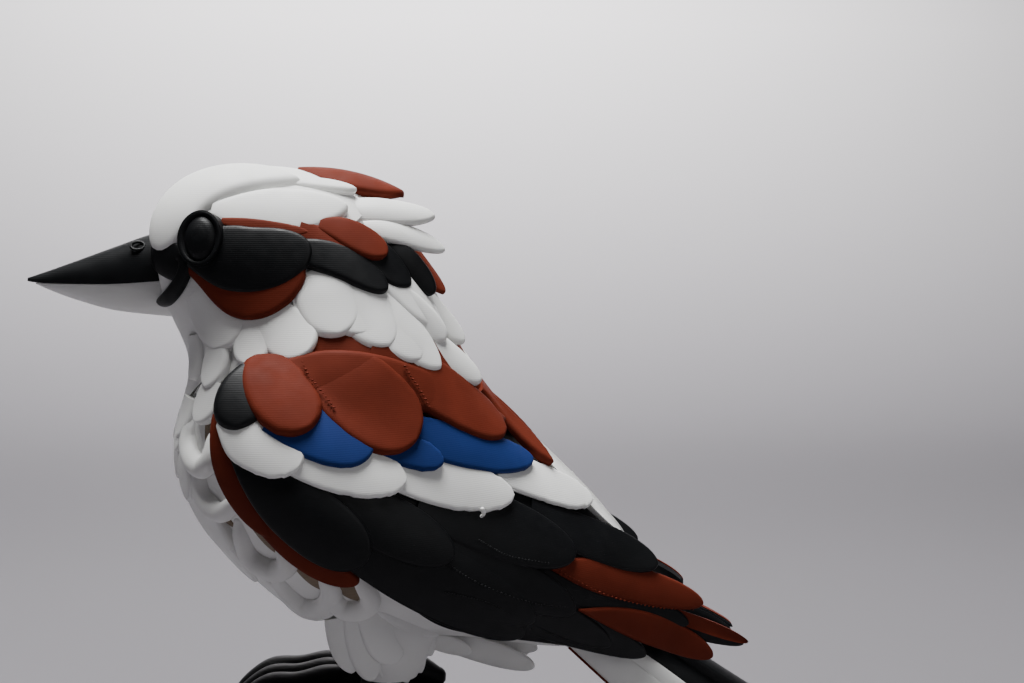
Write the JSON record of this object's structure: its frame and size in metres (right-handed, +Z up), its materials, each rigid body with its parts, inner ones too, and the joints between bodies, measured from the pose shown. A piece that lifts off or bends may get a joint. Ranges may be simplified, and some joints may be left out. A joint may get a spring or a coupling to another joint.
{
  "type": "printed plastic kookaburra figure",
  "caption": "Perched kookaburra figure about half life size, of layered feather pieces in white, brown, blue and black plastic, standing on a low rounded rock with a flat underside.",
  "frame": {"origin": "centre of the rock's flat underside, on the floor", "axes": "+Z up, bill points to -X, tail to +X, the bird's left side is -Y"},
  "size_m": [0.1639, 0.0734, 0.129],
  "materials": {
    "white_plastic": "satin white printed plastic with fine level layer lines",
    "brown_plastic": "satin red-brown printed plastic with fine level layer lines",
    "blue_plastic": "satin blue printed plastic with fine level layer lines",
    "black_plastic": "satin black printed plastic with fine level layer lines"
  },
  "bodies": {
    "root": {"back": "brown_plastic", "bill_lower": "white_plastic", "bill_upper": "black_plastic", "cheek_left": "brown_plastic", "cheek_right": "brown_plastic", "collar": "white_plastic", "coverts_blue_left": "blue_plastic", "coverts_blue_right": "blue_plastic", "coverts_brown_left": "brown_plastic", "coverts_brown_right": "brown_plastic", "coverts_white_left": "white_plastic", "coverts_white_right": "white_plastic", "crown": "brown_plastic", "ear_black_left": "black_plastic", "ear_black_right": "black_plastic", "ear_brown_left": "brown_plastic", "ear_brown_right": "brown_plastic", "eye_left": "black_plastic", "eye_right": "black_plastic", "foot_left": "black_plastic", "foot_right": "black_plastic", "gape_left": "black_plastic", "gape_right": "black_plastic", "head": "white_plastic", "mantle_left": "brown_plastic", "mantle_right": "brown_plastic", "mask_left": "black_plastic", "mask_right": "black_plastic", "nape": "brown_plastic", "primaries_lower_left": "brown_plastic", "primaries_lower_right": "brown_plastic", "primaries_upper_left": "brown_plastic", "primaries_upper_right": "brown_plastic", "rock": "black_plastic", "shoulder_left": "black_plastic", "shoulder_right": "black_plastic", "tail_black_left": "black_plastic", "tail_black_right": "black_plastic", "tail_top": "black_plastic", "tail_white_left": "white_plastic", "tail_white_right": "white_plastic", "torso": "white_plastic", "wing_edge_left": "brown_plastic", "wing_edge_right": "brown_plastic", "wing_left": "black_plastic", "wing_right": "black_plastic"}
  },
  "joints": []
}
